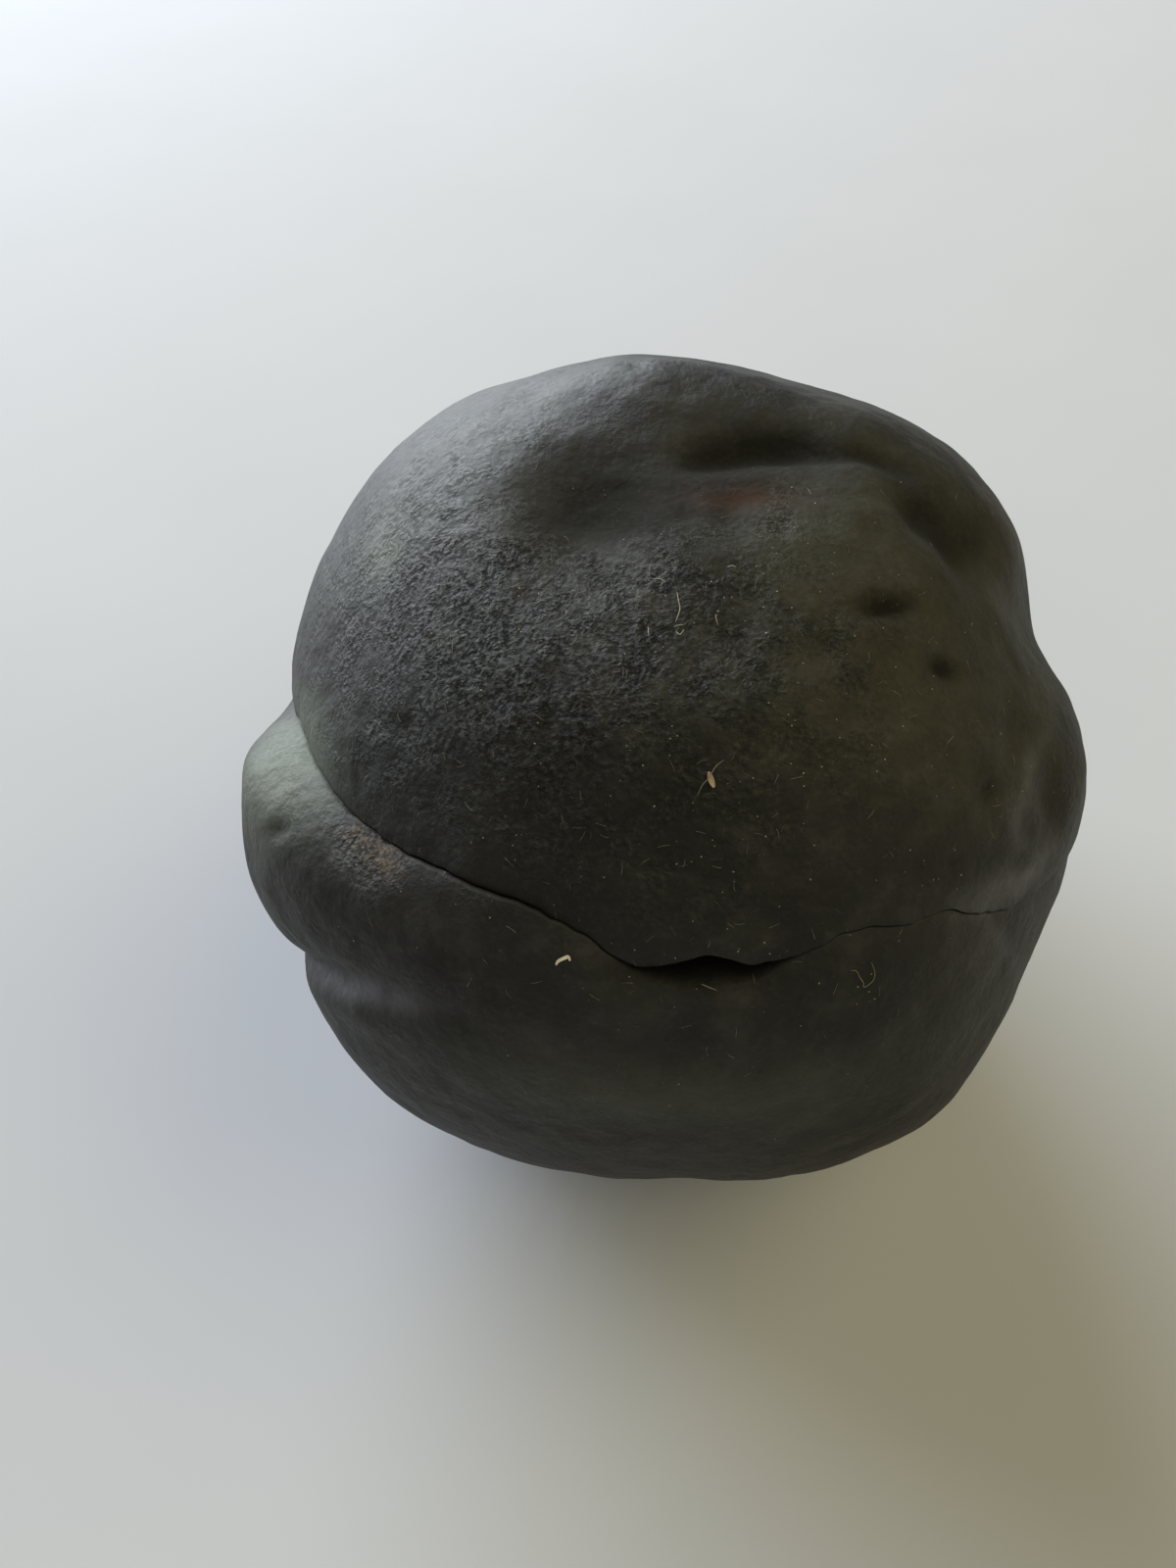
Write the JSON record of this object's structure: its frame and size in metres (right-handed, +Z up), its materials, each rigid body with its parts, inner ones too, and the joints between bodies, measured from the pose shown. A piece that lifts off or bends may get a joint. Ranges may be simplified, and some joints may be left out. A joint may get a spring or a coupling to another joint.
{
  "type": "shaligram stone",
  "caption": "Rounded black river stone with a domed, valleyed top, a crack running right round below it, a small dark mouth in front, a side lobe and a flat spot to rest on.",
  "frame": {"origin": "on the surface that the stone rests on, below the middle of the stone's box", "axes": "+Z up, -Y towards the front with the mouth, +X to the right as seen from the front"},
  "size_m": [0.0719, 0.0714, 0.0696],
  "materials": {
    "black_shale": "river-worn black shale, satin with fine pits on the top and smoother on the sides, with brown iron stain in the creases and loose lint and dust on it"
  },
  "bodies": {
    "root": {"shaligram_stone": "black_shale"}
  },
  "joints": []
}
